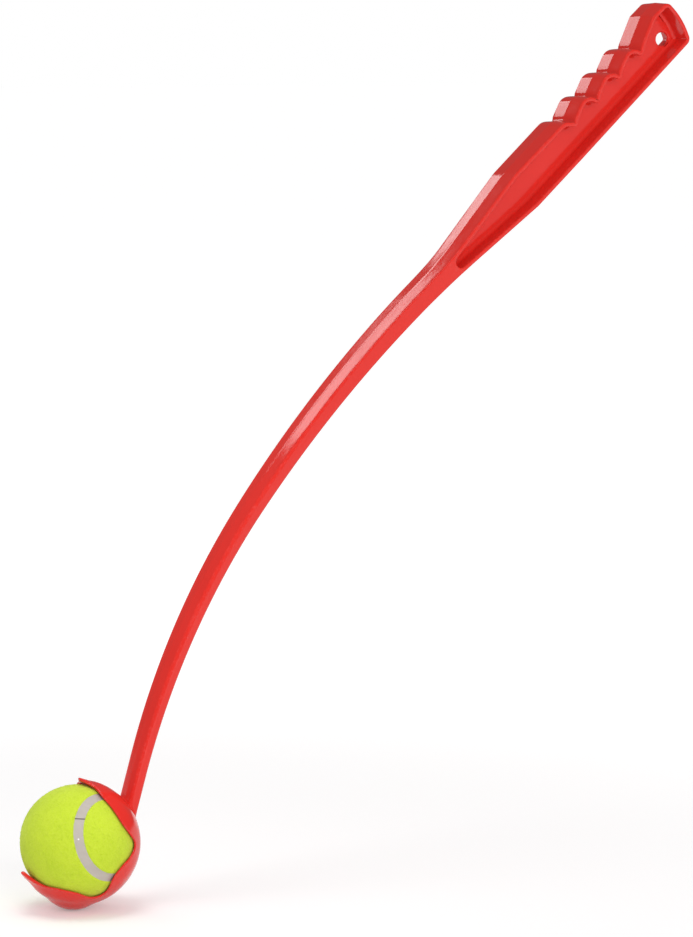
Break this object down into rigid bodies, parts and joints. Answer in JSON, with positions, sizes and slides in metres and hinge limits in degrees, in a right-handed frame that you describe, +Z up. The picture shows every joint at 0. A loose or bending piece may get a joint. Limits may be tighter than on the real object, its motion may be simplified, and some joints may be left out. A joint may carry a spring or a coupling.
{
  "type": "dog tennis ball launcher",
  "caption": "Red plastic throwing arm with a moulded finger grip and hanging hole, a long curved springy arm and a claw cup that holds a tennis ball.",
  "frame": {"origin": "centre of the hanging hole, in the middle of the handle's web", "axes": "+Z up, +Y across the launcher, along the hanging hole and square to the swing plane, +X from the cup towards the butt of the handle"},
  "size_m": [0.4449, 0.0666, 0.5177],
  "materials": {
    "red_plastic": "glossy moulded",
    "ball_felt": "napped felt",
    "seam_rubber": "matte",
    "core_rubber": "matte"
  },
  "bodies": {
    "launcher": {"handle": "red_plastic", "arm": "red_plastic", "cup": "red_plastic"},
    "upper_lip": {"upper_lip": "red_plastic"},
    "lower_lip": {"lower_lip": "red_plastic"},
    "ball": {"ball_felt_front": "ball_felt", "ball_felt_back": "ball_felt", "ball_seam": "seam_rubber", "ball_core_front": "core_rubber", "ball_core_back": "core_rubber"}
  },
  "joints": [
    {"name": "ball_release", "type": "slide", "parent": "launcher", "child": "ball", "axis": [-0.7986, 0, 0.6018], "range_m": [0, 0.02]},
    {"name": "upper_lip_flex", "type": "hinge", "parent": "launcher", "child": "upper_lip", "pos_m": [-0.37052, 0, -0.43182], "axis": [0, 1, 0], "range_deg": [0, 18.5], "stiffness_Nm_per_rad": 0.3},
    {"name": "lower_lip_flex", "type": "hinge", "parent": "launcher", "child": "lower_lip", "pos_m": [-0.38614, 0, -0.49222], "axis": [0, -1, 0], "range_deg": [0, 7.5], "stiffness_Nm_per_rad": 0.3}
  ],
  "couplings": [
    {"joint": "upper_lip_flex", "follows": "ball_release", "rad_per_m": 15.708},
    {"joint": "lower_lip_flex", "follows": "ball_release", "rad_per_m": 6.1087}
  ]
}
